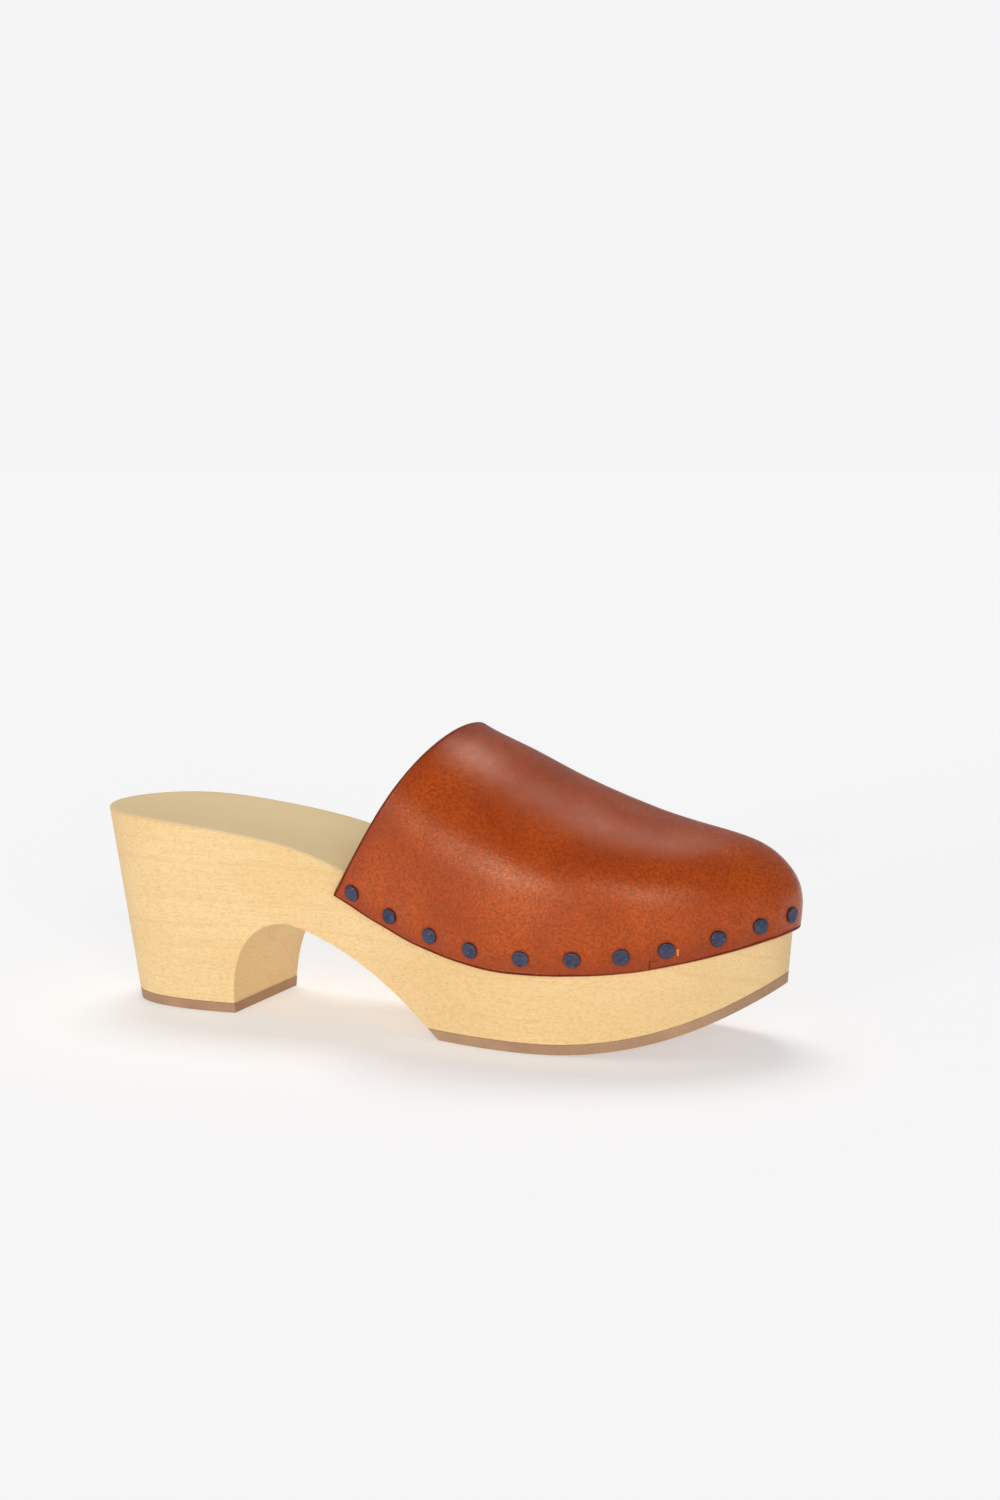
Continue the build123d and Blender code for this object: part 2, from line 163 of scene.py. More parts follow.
# ---------------------------------------------------------------- curves and walls
def cubic(params, values, closed=False):
    """Cubic interpolation through values at params: periodic if closed, otherwise with free ends."""
    knots = np.asarray(params, float)
    nodes = np.asarray(values, float)
    gaps = np.diff(knots)
    chords = np.diff(nodes, axis=0) / (gaps if nodes.ndim == 1 else gaps[:, None])
    count = len(knots)
    matrix = np.zeros((count, count))
    right = np.zeros_like(nodes)
    for i in range(1, count - 1):
        matrix[i, i - 1:i + 2] = gaps[i], 2 * (gaps[i - 1] + gaps[i]), gaps[i - 1]
        right[i] = 3 * (gaps[i] * chords[i - 1] + gaps[i - 1] * chords[i])
    if closed:
        matrix[0, 0], matrix[0, -1] = 1, -1
        matrix[-1, [0, 1, -2, -1]] = 2 * gaps[-1], gaps[-1], gaps[0], 2 * gaps[0]
        right[-1] = 3 * (gaps[0] * chords[-1] + gaps[-1] * chords[0])
    else:
        matrix[0, :2] = 2, 1
        matrix[-1, -2:] = 1, 2
        right[0], right[-1] = 3 * chords[0], 3 * chords[-1]
    slopes = np.linalg.solve(matrix, right)

    def curve(at):
        """Values at these params."""
        at = np.asarray(at, float)
        i = np.clip(np.searchsorted(knots, at, side="right") - 1, 0, count - 2)
        w = (at - knots[i]) / gaps[i]
        gap = gaps[i]
        if nodes.ndim > 1:
            w, gap = w[..., None], gap[..., None]
        return ((1 + 2 * w) * (1 - w) ** 2 * nodes[i] + w * (1 - w) ** 2 * gap * slopes[i]
                + w * w * (3 - 2 * w) * nodes[i + 1] - w * w * (1 - w) * gap * slopes[i + 1])

    return curve


def chord_params(points):
    """Share of a line's length at each of its points, from 0 to 1."""
    steps = np.linalg.norm(np.diff(np.array(points, float), axis=0), axis=1)
    return np.concatenate([[0], np.cumsum(steps)]) / steps.sum()


def lengths_along(line):
    """Length of a line up to each of its points."""
    return np.concatenate([[0], np.cumsum(np.linalg.norm(np.diff(line, axis=0), axis=1))])


closed_upper = UPPER_OUTLINE + UPPER_OUTLINE[:1]
closed_ground = GROUND_OUTLINE + GROUND_OUTLINE[:1]
outline_params = chord_params(closed_upper)
PERIMETER = float(np.linalg.norm(np.diff(np.array(closed_upper, float), axis=0), axis=1).sum())
upper_curve = cubic(outline_params, closed_upper, closed=True)
ground_curve = cubic(outline_params, closed_ground, closed=True)
rim_height = cubic(RIM_STATIONS, RIM_HEIGHTS)
crown_height = cubic(CROWN_STATIONS, CROWN_HEIGHTS)
edge_height = cubic(EDGE_STATIONS, EDGE_HEIGHTS)
side_bulge = cubic(UPPER_STATIONS, SIDE_BULGE)
widest_above_rim = cubic(UPPER_STATIONS, WIDEST_ABOVE_RIM)
crown_fullness = cubic(UPPER_STATIONS, CROWN_FULLNESS)


def wall_point(share, height):
    """Plan points of the wooden wall at these shares of the outline and these heights."""
    w = (np.asarray(height, float) / REFERENCE_HEIGHT)[..., None]
    return upper_curve(share) * w + ground_curve(share) * (1 - w)


def on_wall(share, height):
    """Points of the wall, in 3-D."""
    height = np.broadcast_to(height, np.shape(share)).astype(float)
    return np.concatenate([wall_point(share, height), height[..., None]], axis=-1)


def wall_at(share, height_along_x):
    """Points of the wall where it meets a height that depends on X, such as the rim."""
    height = np.full(np.shape(share), REFERENCE_HEIGHT / 2)
    for _ in range(WALL_ROUNDS):
        height = height_along_x(wall_point(share, height)[..., 0])
    return on_wall(share, height)


def wall_normal(share, height):
    """Outward plan directions of the wall."""
    along = wall_point(share + NORMAL_STEP, height) - wall_point(share - NORMAL_STEP, height)
    out = np.stack([along[..., 1], -along[..., 0]], axis=-1)
    return out / np.linalg.norm(out, axis=-1, keepdims=True)


SHARES = np.linspace(0, 1, OUTLINE_SAMPLES)
RIM = wall_at(SHARES, rim_height)
TOE = int(np.argmax(RIM[:, 0]))
TOE_SHARE = float(SHARES[TOE])


def side_share(x, lateral):
    """Share of the outline where the rim passes station x, on the outer or the inner side."""
    half = slice(0, TOE + 1) if lateral else slice(TOE, None)
    order = np.argsort(RIM[half, 0])
    return np.interp(x, RIM[half, 0][order], SHARES[half][order])


def side_y(x, lateral):
    """Y of the rim at station x, on one side."""
    return np.interp(side_share(x, lateral), SHARES, RIM[:, 1])


def middle(x):
    """Middle of the rim at station x."""
    return (side_y(x, True) + side_y(x, False)) / 2


def share_where(x, height, lateral):
    """Share of the outline where the wall passes station x at a height, on one side."""
    low = np.zeros_like(x) if lateral else np.ones_like(x)
    high = np.full_like(x, TOE_SHARE)
    for _ in range(HALVINGS):
        half = (low + high) / 2
        short = wall_point(half, height)[..., 0] < x
        low = np.where(short, half, low)
        high = np.where(short, high, half)
    return (low + high) / 2


def spring_height(x):
    """Height of the forefoot's underside at station x."""
    share = np.maximum(np.asarray(x, float) - TOE_SPRING_START, 0) / (TOE_SPRING_END - TOE_SPRING_START)
    return TOE_SPRING_RISE * share ** TOE_SPRING_POWER


def footbed_height(x, y):
    """Height of the dished footbed."""
    half = np.maximum((side_y(x, False) - side_y(x, True)) / 2, DISH_LEAST_HALF_WIDTH)
    inward = np.maximum(1 - ((y - middle(x)) / half) ** 2, 0)
    return rim_height(x) - np.interp(x, DISH_STATIONS, DISH_DEPTHS) * inward ** DISH_STEEPNESS


# ---------------------------------------------------------------- meshes
def make_object(name, points, faces):
    """Smooth-shaded object from points in the clog's own axes, moved to the row frame."""
    mesh = bpy.data.meshes.new(name)
    mesh.from_pydata(((np.asarray(points) - MIDDLE) * MM).tolist(), [], faces)
    mesh.update()
    mesh.shade_smooth()
    thing = bpy.data.objects.new(name, mesh)
    bpy.context.scene.collection.objects.link(thing)
    return thing


def grid_faces(index, flip=False):
    """Four-sided faces between neighbouring indices of a grid."""
    corners = [index[:-1, :-1], index[1:, :-1], index[1:, 1:], index[:-1, 1:]]
    faces = np.stack([corner.ravel() for corner in corners], axis=1)
    return (faces[:, ::-1] if flip else faces).tolist()


def loop_of(grid):
    """Boundary of a grid, once round."""
    return np.concatenate([grid[:-1, 0], grid[-1, :-1], grid[:0:-1, -1], grid[0, :0:-1]])


def between(first, last, shares):
    """Grid of points on straight lines from first to last: one row for each pair."""
    shares = np.asarray(shares)[None, :, None]
    return first[:, None] * (1 - shares) + last[:, None] * shares


def round_corner(start, corner, end, count):
    """Rings that turn from start to end round a corner, without the two ends."""
    rings = []
    for q in np.linspace(0, 1, count + 2)[1:-1]:
        rings.append((1 - q) ** 2 * start + 2 * q * (1 - q) * corner + q * q * end)
    return rings


def closed_body(name, bottom, rings, top):
    """Closed mesh of a bottom grid, rings of points up its side, and a top grid. Points that meet merge."""
    count = len(bottom) * len(bottom[0])
    bottom_index = np.arange(count).reshape(len(bottom), -1)
    top_index = bottom_index + count
    ring_index = [loop_of(bottom_index)]
    for i, ring in enumerate(rings):
        ring_index.append(2 * count + i * len(ring) + np.arange(len(ring)))
    ring_index.append(loop_of(top_index))
    closed = np.array([np.append(ring, ring[:1]) for ring in ring_index])
    points = np.concatenate([bottom.reshape(-1, 3), top.reshape(-1, 3), *rings])
    faces = grid_faces(bottom_index, flip=True) + grid_faces(top_index) + grid_faces(closed)
    body = make_object(name, points, faces)
    work = bmesh.new()
    work.from_mesh(body.data)
    bmesh.ops.remove_doubles(work, verts=work.verts, dist=MERGE_DISTANCE * MM)
    bmesh.ops.dissolve_degenerate(work, edges=work.edges, dist=SLIVER_LENGTH * MM)
    bmesh.ops.recalc_face_normals(work, faces=work.faces)
    work.to_mesh(body.data)
    work.free()
    body.data.shade_smooth()
    return body


# ---------------------------------------------------------------- wood
ACROSS = np.concatenate([[0, 0.008], np.linspace(0.03, 0.97, 41), [0.992, 1]])
UP = np.concatenate([[0, 0.008], np.linspace(0.04, 0.96, 24), [0.992, 1]])
HEEL_COLUMNS = 54
ARCH_COLUMNS = 90
FRONT_COLUMNS = 100
LEAST_RUN = 0.35     # the rim moves on by at least this share of each step along the lower edge
STEEP_SLOPE = 1.2    # where the lower edge is steeper, the underside starts level with it


def arch_line(count):
    """Side profile of the arch from the heel's front edge over to the forefoot's rear edge."""
    corner_x, corner_z = ARCH_PROFILE[-1]
    end = (corner_x + (corner_z - TREAD_THICKNESS) / ARCH_FRONT_SLOPE, TREAD_THICKNESS)
    line = [(HEEL_BREAST, TREAD_THICKNESS), *ARCH_PROFILE, end]
    return cubic(chord_params(line), line)(np.linspace(0, 1, count))


def wood_sides():
    """Shares of the outline on both sides, and heights, along the wood's lower edge from heel to toe."""
    arch = arch_line(ARCH_COLUMNS)
    start = share_where(arch[:1, 0], arch[:1, 1], True)[0]
    end = share_where(arch[-1:, 0], arch[-1:, 1], True)[0]
    heel = np.linspace(0, start, HEEL_COLUMNS)[:-1]
    front = np.linspace(end, TOE_SHARE, FRONT_COLUMNS)[1:]
    heel_points = on_wall(heel, TREAD_THICKNESS)
    front_points = wall_at(front, lambda x: TREAD_THICKNESS + spring_height(x))
    x = np.concatenate([heel_points[:, 0], arch[:, 0], front_points[:, 0]])
    z = np.concatenate([heel_points[:, 2], arch[:, 1], front_points[:, 2]])
    outer = np.concatenate([heel, share_where(arch[:, 0], arch[:, 1], True), front])
    inner = share_where(x, z, False)
    inner[0], inner[-1] = 1, TOE_SHARE
    return outer, inner, x, z


def wood():
    """The base: footbed and underside are grids from side to side, joined by the walls and round edges."""
    outer, inner, x, z = wood_sides()
    steps = np.hypot(np.diff(x), np.diff(z))
    run = np.concatenate([[0], np.cumsum(np.maximum(np.diff(outer) * PERIMETER, LEAST_RUN * steps))])
    rim_outer = run / run[-1] * TOE_SHARE
    rim_x = np.interp(rim_outer, SHARES, RIM[:, 0])
    rim_inner = side_share(rim_x, False)
    rim_inner[0], rim_inner[-1] = 1, TOE_SHARE
    # Direction into the wall, mitred where the lower edge turns, in outline length and height.
    ways = np.diff(np.stack([outer * PERIMETER, z], axis=1), axis=0)
    squares = np.stack([-ways[:, 1], ways[:, 0]], axis=1) / np.linalg.norm(ways, axis=1, keepdims=True)
    before, after = np.vstack([squares[:1], squares]), np.vstack([squares, squares[-1:]])
    inward = (before + after) / (1 + (before * after).sum(axis=1, keepdims=True)) * WOOD_EDGE_ROUND
    bottoms, tops, walls = [], [], []
    for low, high, sign in ((outer, rim_outer, 1), (inner, rim_inner, -1)):
        edge = on_wall(low, z)
        out = wall_normal(low, z)
        under = edge.copy()
        under[:, :2] -= out * WOOD_EDGE_ROUND
        slope = np.gradient(z) / np.maximum(np.gradient(x), 1e-3)
        under[:, 2] -= np.where(abs(slope) < STEEP_SLOPE, slope, 0) * out[:, 0] * WOOD_EDGE_ROUND
        above_share = low + sign * inward[:, 0] / PERIMETER
        above_z = z + inward[:, 1]
        rim = wall_at(high, rim_height)
        rim_low = rim[:, 2] - RIM_ROUND
        rows = []
        for up in UP:
            rows.append(on_wall(above_share * (1 - up) + high * up, above_z * (1 - up) + rim_low * up))
        top = rim.copy()
        top[:, :2] -= wall_normal(high, rim[:, 2]) * RIM_ROUND
        top[:, 2] = footbed_height(top[:, 0], top[:, 1])
        walls.append([*round_corner(under, edge, rows[0], 2), *rows, *round_corner(rows[-1], rim, top, 3)])
        bottoms.append(under)
        tops.append(top)
    bottom = between(bottoms[0], bottoms[1], ACROSS)
    top = between(tops[0], tops[1], ACROSS)
    top[..., 2] = footbed_height(top[..., 0], top[..., 1])
    for grid in (bottom, top):
        grid[0], grid[-1] = grid[0, :1], grid[-1, :1]
    rings = []
    for outer_side, inner_side in zip(*walls):
        ring = np.zeros_like(bottom)
        ring[:, 0], ring[:, -1] = outer_side, inner_side
        ring[0], ring[-1] = outer_side[0], outer_side[-1]
        rings.append(loop_of(ring))
    return closed_body("wood_block", bottom, rings, top)


TREAD_ACROSS = np.linspace(0, 1, 9)
HEEL_TREAD_COLUMNS = 48
FOREFOOT_TREAD_COLUMNS = 90
BEVEL_SEGMENTS = 3
BEVEL_ANGLE = 50     # edges that turn by more than this many degrees are rounded


def slab(name, stations_low, stations_high, blunt_front):
    """A rubber tread: a slab between the ground and the wood, cut square across at the arch."""
    levels = []
    for x, lift in ((stations_low, 0.0), (stations_high, TREAD_THICKNESS)):
        z = lift + spring_height(x)
        sides = [on_wall(share_where(x, z, lateral), z) for lateral in (True, False)]
        grid = between(sides[0], sides[1], TREAD_ACROSS)
        end = 0 if blunt_front else -1
        grid[end] = grid[end, :1]
        levels.append(grid)
    body = closed_body(name, levels[0], [], levels[1])
    bevel = body.modifiers.new("round_edges", "BEVEL")
    bevel.width = TREAD_EDGE_ROUND * MM
    bevel.segments = BEVEL_SEGMENTS
    bevel.limit_method = "ANGLE"
    bevel.angle_limit = math.radians(BEVEL_ANGLE)
    bevel.harden_normals = True
    return body


def heel_tread():
    """Stations crowd together towards the back, where the outline turns."""
    turn = 1 - np.cos(np.linspace(0, math.pi / 2, HEEL_TREAD_COLUMNS))
    stations = []
    for height in (0.0, TREAD_THICKNESS):
        back = wall_point(np.array([0.0]), np.array([height]))[0, 0]
        stations.append(back + (HEEL_BREAST - back) * turn)
    return slab("heel_tread", *stations, blunt_front=True)


def forefoot_tread():
    """Stations crowd together towards the toe, where the outline turns."""
    turn = np.sin(np.linspace(0, math.pi / 2, FOREFOOT_TREAD_COLUMNS))
    corner_x, corner_z = ARCH_PROFILE[-1]
    stations = []
    for lift in (0.0, TREAD_THICKNESS):
        toe = wall_at(np.array([TOE_SHARE]), lambda x: lift + spring_height(x))[0, 0]
        rear = corner_x + (corner_z - lift) / ARCH_FRONT_SLOPE
        stations.append(rear + (toe - rear) * turn)
    return slab("forefoot_tread", *stations, blunt_front=False)


# ---------------------------------------------------------------- leather upper
COLUMNS = 231
REAR_ROWS = 72
TOE_ROWS = 104
OVER_SAMPLES = 220
SIDE_SAMPLES = 60
LAP_SAMPLES = 40
REAR_SPOKES = 200
REAR_MARGIN = 4      # the first spokes stand this far behind the topline's foot (mm)
TOE_SPOKES = 721
TOE_SPOKE_POINTS = 301
BALL_MARGIN = 8      # the rim is looked up from this far behind the ball (mm)
EASING_ROUNDS = 14
OUTER_ROUND_RINGS = 4
INNER_ROUND_RINGS = 3
TACK_LINE_POINTS = 1500
FAR_FROM_TACKS = 9.0     # distance given to the points round the cut edge (mm)


def spokes(centre, share):
    """Lines over the upper's outer face, each from its crown over the side to its lower edge."""
    foot = wall_at(share, rim_height)
    station, rim = foot[:, 0], foot[:, 2:]
    reach = np.linalg.norm(foot[:, :2] - centre, axis=1, keepdims=True)
    out = (foot[:, :2] - centre) / reach
    rise = widest_above_rim(station)[:, None]
    power = 2 / crown_fullness(station)[:, None]
    widest = centre + out * (reach + side_bulge(station)[:, None])
    offset = LEATHER_THICKNESS + LEATHER_GAP
    at_rim = foot[:, :2] + wall_normal(share, foot[:, 2]) * offset
    angle = np.linspace(0, math.pi / 2, OVER_SAMPLES)[None]
    plan = centre[:, None] + (widest - centre)[:, None] * (np.sin(angle) ** power)[..., None]
    top = crown_height(plan[..., 0])
    height = rim + rise + (top - rim - rise) * np.clip(np.cos(angle), 0, 1) ** power
    parts = [np.concatenate([plan, height[..., None]], axis=2)]
    drop = np.linspace(0, 1, SIDE_SAMPLES)[None, 1:]
    plan = at_rim[:, None] + (widest - at_rim)[:, None] * (1 - drop * drop)[..., None]
    parts.append(np.concatenate([plan, (rim + rise - rise * drop)[..., None]], axis=2))
    low = wall_at(share, edge_height)[:, 2:]
    drop = np.linspace(0, 1, LAP_SAMPLES)[None, 1:]
    height = rim + (low - rim) * drop
    shares = np.broadcast_to(share[:, None], height.shape)
    plan = wall_point(shares, height) + wall_normal(shares, height) * offset
    parts.append(np.concatenate([plan, height[..., None]], axis=2))
    return np.concatenate(parts, axis=1)


def resample(lines, shares):
    """Points at the same shares of the length of each line."""
    result = np.empty((len(lines), len(shares), 3))
    for i, line in enumerate(lines):
        lengths = lengths_along(line)
        for k in range(3):
            result[i, :, k] = np.interp(shares * lengths[-1], lengths, line[:, k])
    return result


def rear_rows(across):
    """Rows of the upper from the topline to the ball, at these places across, from -1 to 1."""
    stations = np.linspace(TOPLINE_FOOT - REAR_MARGIN, BALL_STATION, REAR_SPOKES)
    rows = np.empty((REAR_ROWS, len(across), 3))
    for lateral in (True, False):
        chosen = np.flatnonzero(across < 0) if lateral else np.flatnonzero(across >= 0)
        centre = np.stack([stations, middle(stations)], axis=1)
        table = resample(spokes(centre, side_share(stations, lateral)), abs(across[chosen]))
        for i, column in enumerate(chosen):
            line = table[:, i]
            past = line[:, 0] - TOPLINE_FOOT - TOPLINE_RAKE * (line[:, 2] - TOPLINE_FOOT_HEIGHT)
            first = np.interp(0, past, stations)
            at = np.linspace(first, BALL_STATION, REAR_ROWS)
            rows[:, column] = np.stack([np.interp(at, stations, line[:, k]) for k in range(3)], axis=1)
    return rows


def toe_rows(across):
    """Rows of the upper from just past the ball to the front edge."""
    ball = np.array([BALL_STATION, middle(BALL_STATION)])
    angles = np.arctan2(RIM[:, 1] - ball[1], RIM[:, 0] - ball[0])
    front = RIM[:, 0] > BALL_STATION - BALL_MARGIN
    turns = np.linspace(-math.pi / 2, math.pi / 2, TOE_SPOKES)
    share = np.interp(turns, angles[front], SHARES[front])
    centres = np.tile(ball, (len(turns), 1))
    table = resample(spokes(centres, share), np.linspace(0, 1, TOE_SPOKE_POINTS))
    a, c = np.meshgrid(across, np.linspace(0, 1, TOE_ROWS + 1)[1:])
    forward = c * np.sqrt(1 - a * a / 2)
    sideways = a * np.sqrt(1 - c * c / 2)
    turn = (np.arctan2(sideways, forward) / math.pi + 0.5) * (len(turns) - 1)
    out = np.minimum(np.hypot(forward, sideways), 1) * (table.shape[1] - 1)
    i = np.clip(turn.astype(int), 0, table.shape[0] - 2)
    j = np.clip(out.astype(int), 0, table.shape[1] - 2)
    u, v = (turn - i)[..., None], (out - j)[..., None]
    near = table[i, j] * (1 - v) + table[i, j + 1] * v
    far = table[i + 1, j] * (1 - v) + table[i + 1, j + 1] * v
    return near * (1 - u) + far * u


def tack_seats():
    """Place on the outer face of the leather and outward direction of every tack."""
    first, last = side_share(TACK_FIRST_STATION, True), side_share(TACK_LAST_STATION, False)
    shares = np.linspace(first, last, TACK_LINE_POINTS)
    line = wall_at(shares, lambda x: edge_height(x) + TACK_ABOVE_EDGE)
    lengths = lengths_along(line)
    inner = [OUTER_TACKS[-1] + INNER_TACK_PITCH * (i + 1) for i in range(INNER_TACK_COUNT)]
    distances = np.array(OUTER_TACKS + inner)
    share = np.interp(distances, lengths, shares)
    height = np.interp(distances, lengths, line[:, 2])
    normal = wall_normal(share, height)
    lean = ((wall_point(share, height + 1) - wall_point(share, height)) * normal).sum(axis=1)
    outward = np.concatenate([normal, -lean[:, None]], axis=1)
    outward /= np.linalg.norm(outward, axis=1, keepdims=True)
    return on_wall(share, height) + outward * (LEATHER_THICKNESS + LEATHER_GAP), outward


def smoothed(grid, rounds):
    """Grid of points with its inside eased, its boundary kept."""
    grid = grid.copy()
    for _ in range(rounds):
        around = (grid[:-2, 1:-1] + grid[2:, 1:-1] + grid[1:-1, :-2] + grid[1:-1, 2:]) / 4
        grid[1:-1, 1:-1] += 0.5 * (around - grid[1:-1, 1:-1])
    return grid


def grid_normals(grid):
    """Outward directions of a grid's surface."""
    rows, columns = grid.shape[:2]
    index = np.arange(rows * columns).reshape(rows, -1)
    probe = bpy.data.meshes.new("probe")
    probe.from_pydata(grid.reshape(-1, 3).tolist(), [], grid_faces(index))
    probe.update()
    normals = np.empty(rows * columns * 3, np.float32)
    probe.vertices.foreach_get("normal", normals)
    bpy.data.meshes.remove(probe)
    return normals.reshape(rows, columns, 3).astype(float)


def distances(points, targets):
    """Distance from each point to the nearest target."""
    tree = kdtree.KDTree(len(targets))
    for i, target in enumerate(targets):
        tree.insert(target, i)
    tree.balance()
    return np.array([tree.find(point)[2] for point in points])


def unevenness(points):
    """Height of the skin's slow waves at each point, in mm."""
    heights = []
    for point in points:
        place = Vector(point)
        heights.append(sum(height * noise.noise(place / width + Vector(offset))
                           for height, width, offset in SKIN_WAVES))
    return np.array(heights)


def upper(seats):
    """The leather: outer face with dents at the tacks, rounded cut edges and the face inside."""
    across = np.linspace(-1, 1, COLUMNS)
    outer = smoothed(np.concatenate([rear_rows(across), toe_rows(across)]), EASING_ROUNDS)
    flat = outer.reshape(-1, 3)
    edge = distances(flat, loop_of(outer))
    tack = distances(flat, seats)
    dent = -DENT_DEPTH * np.exp(-(np.maximum(tack - TACK_HEAD / 2, 0) / DENT_REACH) ** 2)
    between_tacks = 1 - np.exp(-(tack / PUCKER_TACK_SPREAD) ** 2)
    along_edge = np.exp(-((edge - TACK_ABOVE_EDGE) / PUCKER_REACH) ** 2)
    near_tacks = np.exp(-(np.maximum(tack - PUCKER_SPAN, 0) / PUCKER_FADE) ** 2)
    lift = dent + PUCKER_HEIGHT * between_tacks * along_edge * near_tacks + unevenness(flat)
    outer = outer + grid_normals(outer) * lift.reshape(outer.shape[:2])[..., None]
    normals = grid_normals(outer)
    inner = outer - normals * LEATHER_THICKNESS
    count = outer.shape[0] * outer.shape[1]
    index = np.arange(count).reshape(outer.shape[:2])
    loop, loop_normal = loop_of(outer), loop_of(normals)
    tangent = np.roll(loop, -1, axis=0) - np.roll(loop, 1, axis=0)
    beyond = np.cross(tangent, loop_normal)
    beyond /= np.linalg.norm(beyond, axis=1, keepdims=True)
    inside = loop_of(np.pad(outer[1:-1, 1:-1], ((1, 1), (1, 1), (0, 0)), mode="edge"))
    beyond *= np.sign(((loop - inside) * beyond).sum(axis=1, keepdims=True))
    profile = []
    for turn in np.linspace(0, math.pi / 2, OUTER_ROUND_RINGS + 1)[1:]:
        profile.append((CUT_OUTER_ROUND * math.sin(turn), CUT_OUTER_ROUND * (1 - math.cos(turn))))
    for turn in np.linspace(math.pi / 2, 0, INNER_ROUND_RINGS + 1)[:-1]:
        out = CUT_OUTER_ROUND - CUT_INNER_ROUND * (1 - math.sin(turn))
        profile.append((out, LEATHER_THICKNESS - CUT_INNER_ROUND * (1 - math.cos(turn))))
    rings = [loop + beyond * out - loop_normal * depth for out, depth in profile]
    ring_index = [loop_of(index)]
    for i in range(len(rings)):
        ring_index.append(2 * count + i * len(loop) + np.arange(len(loop)))
    ring_index.append(loop_of(index + count))
    closed = np.array([np.append(ring, ring[:1]) for ring in ring_index])
    points = np.concatenate([outer.reshape(-1, 3), inner.reshape(-1, 3), *rings])
    faces = grid_faces(index) + grid_faces(index + count, flip=True) + grid_faces(closed, flip=True)
    skin = make_object("leather_vamp", points, faces)
    for name, values, rest in (("edge", edge, 0.0), ("tack", tack, FAR_FROM_TACKS)):
        attribute = skin.data.attributes.new(name, "FLOAT", "POINT")
        filled = np.concatenate([values, values, np.full(len(points) - 2 * count, rest)])
        attribute.data.foreach_set("value", filled.astype(np.float32))
    return skin


# ---------------------------------------------------------------- tacks
TACK_SIDES = 48
TACK_RINGS = (0.12, 0.3, 0.48, 0.64, 0.78)     # shares of the head's radius
TACK_EDGE_RINGS = 5
TACK_SHANK_TOP = 0.1


def tack_head(seat, outward, seed):
    """Points and faces of one flat hand-made head, with its square shank inside the wood."""
    draw = random.Random(seed)
    phases = [draw.uniform(0, 2 * math.pi) for _ in range(3)]
    tilt = Vector((draw.uniform(-TACK_TILT, TACK_TILT), draw.uniform(-TACK_TILT, TACK_TILT), 1))
    axis = Vector(outward)
    turn = axis.to_track_quat("Z", "Y")
    radius, height = TACK_HEAD / 2, TACK_HEAD_THICKNESS
    sides = TACK_SIDES
    profile = [(share, height) for share in TACK_RINGS]
    for corner in np.linspace(0, math.pi / 2, TACK_EDGE_RINGS):
        inset = TACK_EDGE_ROUND * (1 - math.sin(corner)) / radius
        profile.append((1 - inset, height - TACK_EDGE_ROUND * (1 - math.cos(corner))))
    profile.append((1.0, 0.0))
    points = [(0, 0, height)]
    for share, z in profile:
        for i in range(sides):
            angle = 2 * math.pi * i / sides
            wobble = 1
            for k, size in enumerate(TACK_UNROUNDNESS):
                wobble += size * math.cos((k + 1) * angle + phases[k])
            r = radius * share * wobble
            x, y = r * math.cos(angle), r * math.sin(angle)
            mark = 0
            if z > 0:
                spot = Vector((x * TACK_MARK_SCALE, y * TACK_MARK_SCALE, seed * TACK_MARK_STEP))
                mark = TACK_MARK_DEPTH * noise.noise(spot)
            points.append((x, y, z + mark - TACK_CROWN * share * share * (z > 0)))
    points.append((0, 0, 0))
    faces = [(0, 1 + i, 1 + (i + 1) % sides) for i in range(sides)]
    for ring in range(len(profile) - 1):
        first, second = 1 + ring * sides, 1 + (ring + 1) * sides
        for i in range(sides):
            j = (i + 1) % sides
            faces.append((first + i, second + i, second + j, first + j))
    last = 1 + (len(profile) - 1) * sides
    faces += [(len(points) - 1, last + (i + 1) % sides, last + i) for i in range(sides)]
    base = len(points)
    for half, z in ((TACK_SHANK / 2, TACK_SHANK_TOP), (TACK_POINT / 2, -TACK_LENGTH)):
        points += [(half, half, z), (-half, half, z), (-half, -half, z), (half, -half, z)]
    faces += [(base, base + 1, base + 2, base + 3), (base + 7, base + 6, base + 5, base + 4)]
    faces += [(base + i, base + 4 + i, base + 4 + (i + 1) % 4, base + (i + 1) % 4) for i in range(4)]
    tilted = tilt.to_track_quat("Z", "Y")
    origin = Vector(seat) - axis * TACK_HEAD_SUNK
    placed = []
    for k, point in enumerate(points):
        local = tilted @ Vector(point) if k < base else Vector(point)
        placed.append(origin + turn @ local)
    return placed, faces


def tacks(seats, outwards):
    """All the tack heads as one piece of separate islands."""
    points, faces = [], []
    for i, (seat, outward) in enumerate(zip(seats, outwards)):
        own, own_faces = tack_head(seat, outward, i + 1)
        faces += [[k + len(points) for k in face] for face in own_faces]
        points += own
    return make_object("tack_heads", np.array([tuple(point) for point in points]), faces)


